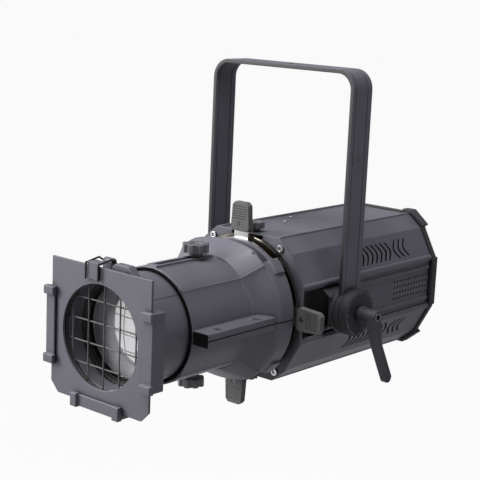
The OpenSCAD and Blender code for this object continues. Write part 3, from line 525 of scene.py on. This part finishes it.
half_slot = 0.28 * (shoulder_corner - band_corner).length + overlap
slot_bow = 8
forward_slots = [(127 - 10 * slot, slot_bow) for slot in range(9)]
backward_slots = [(135 + 11 * slot, -slot_bow) for slot in range(3)]
fill_top, fill_bottom, front_edge, rear_edge = -0.3, -1.7, -overlap, 3.7
fill_section = ((fill_top, front_edge), (fill_top, rear_edge), (fill_bottom, rear_edge),
                (fill_bottom, front_edge))
quarters = ((1, 1), (-1, 1), (1, -1), (-1, -1))
for side, up in quarters:
    for apex, bow in forward_slots + backward_slots:
        rings = []
        for step in range(-3, 4):
            along = shoulder_middle + up_shoulder * half_slot * step / 3
            behind = apex - bow * abs(step / 3) ** 1.5
            rings.append([(side * (along + out_of_shoulder * depth).x,
                           up * (along + out_of_shoulder * depth).y, -(behind + edge))
                          for depth, edge in fill_section])
        lofted(rings, shade_fill_corners, shade_fill_faces)
new_piece("vent_shade_fill", shade_fill_corners, shade_fill_faces, "lamp", vent_painted_shade)

# Rear. A moulded frame with corner bumpers closes the housing round a flat panel, which carries
# the dark display, four push buttons and the sockets for data and power, linked in and out.
bumper_rubber = coated("bumper_rubber", (0.04, 0.04, 0.043), (0.1, 0.1, 0.105), roughness=0.55, peel=1300,
                       peel_depth=0.00008, dust=0.08, edge=0.3)
panel_black = coated("panel_black", (0.022, 0.022, 0.024), (0.07, 0.07, 0.075), roughness=0.42, peel=1800,
                     peel_depth=0.00003, dust=0.02, edge=0.3)
button_grey = coated("button_grey", (0.10, 0.10, 0.105), (0.2, 0.2, 0.21), roughness=0.45, peel=2200,
                     peel_depth=0.00003, dust=0.02, edge=0.3)
display_gloss = coated("display_gloss", (0.006, 0.007, 0.01), (0.03, 0.03, 0.035), roughness=0.12, peel=300,
                       peel_depth=0.000004, mottle=0.2, dust=0.0, edge=0.3)
rounded("rear_bezel", "lamp", bumper_rubber, edge=0.001)
for node in ("rear_panel", "data_sockets", "power_sockets"):
    rounded(node, "lamp", panel_black, edge=0.0004)
for name in ("menu", "up", "down", "enter"):
    rounded("button_" + name, name + "_button", button_grey, edge=0.0005)
rounded("display_window", "lamp", display_gloss, edge=0.0003)

# Works inside the housing: the light source on its finned sink, the reflector in front of it, fan,
# supply and board. They show through the slots of the rear panel, and when the lamp is opened.


def brushed_group():
    """Fine streaks along one axis, as rolling or turning leaves on bare metal."""
    group, takes, gives = new_group("brushed_metal", ["Stretch"], ["Streak", "Stain"], "NodeSocketVector")
    place = add_node(group, "TexCoord").outputs["Object"]
    pulled = add_node(group, "VectorMath", {0: place, 1: takes["Stretch"]}, operation="MULTIPLY")
    group.links.new(noise(group, pulled.outputs[0], scale=1, detail=3), gives["Streak"])
    group.links.new(noise(group, place, scale=35, detail=4), gives["Stain"])
    return group


brushed_metal = brushed_group()


def bare_metal(name, bright, stained, roughness):
    """Uncoated metal: streaked, with a slow stain from handling and heat."""
    made, tree, skin = new_finish(name)
    skin["Metallic"].default_value = 1
    grain = add_node(tree, "Group", {"Stretch": (300, 300, 3000)}, node_tree=brushed_metal).outputs
    spread = ranged(tree, grain["Stain"], 0.4, 0.75)
    scoured = ranged(tree, grain["Streak"], 0, 1, roughness - 0.08, roughness + 0.1)
    bump = add_node(tree, "Bump", {"Strength": 0.3, "Distance": 0.00002, "Height": grain["Streak"]})
    tree.links.new(blended(tree, spread, (*bright, 1), (*stained, 1)), skin["Base Color"])
    tree.links.new(scoured, skin["Roughness"])
    tree.links.new(bump.outputs[0], skin["Normal"])
    return made


mill_aluminium = bare_metal("mill_aluminium", (0.45, 0.45, 0.46), (0.32, 0.32, 0.33), roughness=0.5)
mirror_aluminium = bare_metal("mirror_aluminium", (0.9, 0.9, 0.9), (0.82, 0.82, 0.82), roughness=0.14)
zinc_case = bare_metal("zinc_case", (0.3, 0.3, 0.31), (0.2, 0.2, 0.21), roughness=0.5)
board_green = coated("board_green", (0.006, 0.035, 0.014), (0.03, 0.1, 0.05), roughness=0.35, peel=2500,
                     dust=0.0)
fan_black = coated("fan_black", (0.02, 0.02, 0.022), (0.06, 0.06, 0.06), roughness=0.5, dust=0.05)
phosphor = coated("phosphor", (0.75, 0.6, 0.12), (0.8, 0.7, 0.3), roughness=0.6, peel=2500, dust=0.0)
finish_as_cut(("chassis_tray", "heat_sink"), mill_aluminium)
finish_as_cut(("reflector",), mirror_aluminium)
finish_as_cut(("power_supply",), zinc_case)
finish_as_cut(("control_board",), board_green)
finish_as_cut(("fan_frame", "fan_rotor"), fan_black)
finish_as_cut(("led_module",), phosphor)
finish_as_cut(("pivot_nuts",), bright_zinc)

# Barrel. Two die-cast aluminium halves bolted along side flanges, coated like the housing; a raised
# crown and knob pad stand on each half. It turns on a collar that carries the gate.
cast_coat = coated("cast_coat", charcoal, charcoal_edge, roughness=0.46, peel=700, peel_depth=0.00005,
                   specular=0.38)
for node in ("barrel_upper", "barrel_lower"):
    rounded(node, "barrel", cast_coat, edge=0.0009)
rounded("barrel_screws", "barrel", bright_zinc, edge=0.0002)
gate_aluminium = bare_metal("gate_aluminium", (0.4, 0.375, 0.32), (0.26, 0.235, 0.18), roughness=0.18)
finish_as_cut(("gate_collar", "collar_keeper", "gate_plate"), gate_aluminium)

# a black ring stands on the barrel's front face, in the gap to the tube that slides in it
matt_black = coated("matt_black", (0.006, 0.006, 0.007), (0.015, 0.015, 0.016), roughness=0.9, peel=2600,
                   peel_depth=0.0003, mottle=0.5, dust=0.0, edge=0.3, specular=0.05)
black_ring_section = [(63.9, 235.8), (63.9, 236.7), (64.2, 237.0), (67.2, 237.0), (67.5, 236.7), (67.5, 235.8)]
black_ring_corners, black_ring_faces = [], []
lofted([[(r * math.cos(turn), r * math.sin(turn), z) for r, z in black_ring_section] for turn in full_turn(120)],
       black_ring_corners, black_ring_faces, endless=True)
new_piece("barrel_front_black_ring", black_ring_corners, black_ring_faces, "barrel", matt_black, smooth=True)


def flare(z):
    """Barrel radius at a station: straight in front, swelling to the rear ring."""
    straight_r, swell, swell_front, swell_run = 68, 24, 136, 28
    run = min(1, max(0, (swell_front - z) / swell_run))
    return straight_r + swell * (1 - math.cos(math.pi * run)) / 2


def ridge_section(z):
    """Crest bead and flank of a crown ridge: radius and angle from the split, outside to inside."""
    low_r, high_r, climb_front, climb = 70.6, 92.5, 137, 21.9 / 22
    crest = low_r if z >= climb_front else min(high_r, low_r + climb * (climb_front - z))
    bead_rise, bead_half, bead_step, root = 0.35, 0.75, 0.45, 1.5
    skirt = math.acos(min(1, flare(z) / crest))
    bead = bead_half / crest
    top = math.pi / 4
    points = [(crest - 2, top + 2.4 * bead), (crest - 0.15, top + 1.6 * bead)]
    points += [(crest + bead_rise * math.cos(step * bead_step), top + bead * math.sin(step * bead_step))
               for step in range(3, -4, -1)]
    flank = [(crest * math.cos(top), crest * math.sin(top)),
             (flare(z) * math.cos(top - skirt), flare(z) * math.sin(top - skirt))]
    for share in (0.25, 0.5, 0.75, 1.0):
        x, y = (a + (b - a) * share for a, b in zip(*flank))
        points.append((math.hypot(x, y), math.atan2(y, x)))
    return points + [(flare(z) - root, top - skirt), (flare(z) - root, top)]


# the crown's ridges: a rounded crest with a flank that runs out on the round of the barrel
ridge_places = [112.6, 113.8, 115] + [115 + 2.2 * step for step in range(1, 10)] + [137, 139, 235.2]
ridge_corners, ridge_faces = [], []
for side, up in quarters:
    lofted([[(side * r * math.cos(a), up * r * math.sin(a), z) for r, a in ridge_section(z)]
            for z in ridge_places], ridge_corners, ridge_faces)
new_piece("crown_ridges", ridge_corners, ridge_faces, "barrel", cast_coat, smooth=True)

# painted shade: a black bead stands in for the shadow gap of the split, on the round of the barrel first,
# then along the flanges
flange_rear, flange_out = 118.05, 90
bead_section = ((-1.2, -0.45), (-1.2, 0.45), (0.1, 0.45), (0.25, 0), (0.1, -0.45))
seam_places = [87 + 3 * step for step in range(11)] + [118, 118.1, 234.2]
seam_corners, seam_faces = [], []
for side in (1, -1):
    rings = []
    for z in seam_places:
        out = max(flare(z), flange_out if z > flange_rear else 0)
        rings.append([(side * (out + x), y, z) for x, y in bead_section])
    lofted(rings, seam_corners, seam_faces)
new_piece("split_shade_bead", seam_corners, seam_faces, "barrel", matt_black)

# painted shade: black pads, bevelled round the face, darken the flanges' front ends, which face away from
# the lamps
pad_inner, pad_outer = 68.6, 89.6
pad_levels = ((233.6, 0), (235.0, 0), (235.3, 0.4))
pad_corners, pad_faces = [], []
for side in (1, -1):
    for low, high in ((0.5, 7.4), (-7.4, -0.5)):
        rings = []
        for z, inset in pad_levels:
            inner, outer = side * (pad_inner + inset), side * (pad_outer - inset)
            bottom, top = low + inset, high - inset
            rings.append([(inner, bottom, z), (outer, bottom, z), (outer, top, z), (inner, top, z)])
        lofted(rings, pad_corners, pad_faces)
new_piece("flange_end_shade_pads", pad_corners, pad_faces, "barrel", matt_black)

# Framing shutters. Spring-steel blades slide in the gate; each carries a moulded grip, held by one
# socket screw through the tang. The tip half of the grip is ribbed.
blade_steel = bare_metal("blade_steel", (0.8, 0.8, 0.8), (0.7, 0.67, 0.62), roughness=0.3)
grip_moulding = coated("grip_moulding", (0.1, 0.1, 0.102), (0.22, 0.22, 0.225), roughness=0.6, peel=1600,
                       peel_depth=0.00012, dust=0.05, edge=0.4)
for side in ("top", "bottom", "right", "left"):
    finish_as_cut(("blade_" + side,), blade_steel)
    rounded("grip_" + side, side + "_shutter", grip_moulding, edge=0.0006)


def grip_screw(side, x, y, blade_z):
    """Cap screw in a grip, seen from the front: bevelled head with a hexagon socket."""
    r, head, bevel, mouth = 2.9, 1.1, 0.25, 0.12
    flat_r, grip_face = 0.5 * r, 2.7
    z = blade_z + grip_face
    turns = full_turn(36)
    hexagon = [flat_r / math.cos(turn % (math.pi / 3) - math.pi / 6) for turn in turns]
    whole, bevelled = [r] * len(turns), [r - bevel] * len(turns)
    outline = [(whole, z), (whole, z + head - bevel), (bevelled, z + head),
               ([h + mouth for h in hexagon], z + head), (hexagon, z + head - mouth),
               (hexagon, z + 0.25 * head)]
    corners, faces = [], []
    lofted([[(x + reach * math.cos(turn), y + reach * math.sin(turn), height)
             for reach, turn in zip(radii, turns)] for radii, height in outline], corners, faces)
    new_piece(side + "_grip_screw", corners, faces, side + "_shutter", screw_grey)


grip_screw("top", 0, 100, blade_z=80.8)
grip_screw("bottom", 0, -100, blade_z=79.2)
grip_screw("right", 100, 0, blade_z=77.6)
grip_screw("left", -100, 0, blade_z=76.0)

# Lens tube and holder. A drawn aluminium tube, coated matt, slides in the barrel; the cast holder on
# its front takes the colour frame between three channels.
tube_coat = coated("tube_coat", (0.085, 0.082, 0.1), charcoal_edge, roughness=0.46, specular=0.38)
# the bore is sprayed matt black against glare: everything nearer the beam than the wall's middle
wall_outside, wall_inside = 0.0622, 0.0618
tree = tube_coat.node_tree
spot = add_node(tree, "TexCoord").outputs["Object"]
from_beam = add_node(tree, "VectorMath", {0: spot, 1: tilt_axis}, operation="SUBTRACT")
across_beam = add_node(tree, "VectorMath", {0: from_beam.outputs[0], 1: (1, 0, 1)}, operation="MULTIPLY")
radius = add_node(tree, "VectorMath", {0: across_beam.outputs[0]}, operation="LENGTH")
bore = ranged(tree, radius.outputs["Value"], wall_outside, wall_inside)
overlaid(tube_coat, bore, (0.008, 0.008, 0.009))
rounded("lens_tube", "lens", tube_coat, edge=0.0006)
rounded("accessory_holder", "lens", cast_coat, edge=0.001)
rounded("colour_frame", "lens", shell_coat, edge=0.0005)
rounded("lens_rings", "lens", lever_black, edge=0.0003)

# Lenses. Two plano-convex glass lenses, ground and polished, are held in the tube by screwed rings;
# a faint film lies on them and blurs the glass here and there.
lens_glass, tree, skin = new_finish("lens_glass")
skin["Transmission Weight"].default_value = 0.45
skin["Coat Weight"].default_value = 1
skin["Coat IOR"].default_value = 4
skin["Coat Roughness"].default_value = 0.02
skin["IOR"].default_value = 1.52
film_and_shade = add_node(tree, "Group", {"Peel Scale": 40, "Mottle": 0.03, "Dust": 0},
                node_tree=sprayed_coat).outputs
# painted shade: the coat group's occlusion darkens the glass's colour near the rings and seat
clear = blended(tree, 1, (0.9, 0.9, 0.95, 1), film_and_shade["Tone and Painted Shade"], "MULTIPLY")
tree.links.new(clear, skin["Base Color"])
tree.links.new(ranged(tree, film_and_shade["Gloss"], 0, 1, 0.0, 0.06), skin["Roughness"])
finish_as_cut(("rear_lens",), lens_glass)

# the front lens is thick: its rim sits in the seat, and its body stands out through the ring
rim_r, seat, rim_front, chamfer = 60, 249, 253, 0.4
body_r, shoulder, rise, break_edge = 56.8, 271, 7, 0.6
outline = [(rim_r, seat), (rim_r, rim_front - chamfer), (rim_r - chamfer, rim_front), (body_r, rim_front),
           (body_r, shoulder - break_edge), (body_r - break_edge, shoulder)]
ball = (body_r ** 2 + rise ** 2) / (2 * rise)
for share in (0.97, 0.92, 0.86, 0.78, 0.68, 0.57, 0.45, 0.32, 0.18, 0.06):
    r = body_r * share
    outline.append((r, shoulder + rise - ball + math.sqrt(ball ** 2 - r ** 2)))
lens_corners, lens_faces = [], []
lofted([[(r * math.cos(turn), r * math.sin(turn), z) for turn in full_turn(96)] for r, z in outline],
       lens_corners, lens_faces)
thick_lens = new_piece("thick_front_lens", lens_corners, lens_faces, "lens", lens_glass,
                       smooth=True)
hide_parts("front_lens")

# Wire guard and frame retainer. Welded black wire behind the colour frame, and a sprung wire clip
# with a folded sheet tab that stops the frame from lifting out.
wire_black = coated("wire_black", (0.09, 0.088, 0.088), (0.14, 0.138, 0.138), roughness=0.45, peel=1500,
                    dust=0.0, edge=0.3, edge_radius=0.0004)
clip_black = coated("clip_black", (0.012, 0.012, 0.013), (0.05, 0.05, 0.05), roughness=0.38, peel=1500,
                    dust=0.0, edge=0.2, edge_radius=0.0004)
finish_as_cut(("safety_mesh",), wire_black)
finish_as_cut(("retainer_wire",), clip_black)
rounded("retainer_tab", "frame_retainer", shell_coat, edge=0.0003)

# Hand knobs. Moulded black heads on steel studs: two clamp the lens tube through the barrel's slots,
# two clamp the turning collar through the housing.
knob_black = coated("knob_black", (0.09, 0.09, 0.1), (0.34, 0.34, 0.35), roughness=0.34, peel=1500,
                    edge=0.7, specular=0.5)
for side in ("top", "bottom"):
    rounded("focus_knob_" + side, side + "_focus_knob", knob_black, edge=0.0009)
    rounded("lock_knob_" + side, side + "_lock_knob", knob_black, edge=0.0008)
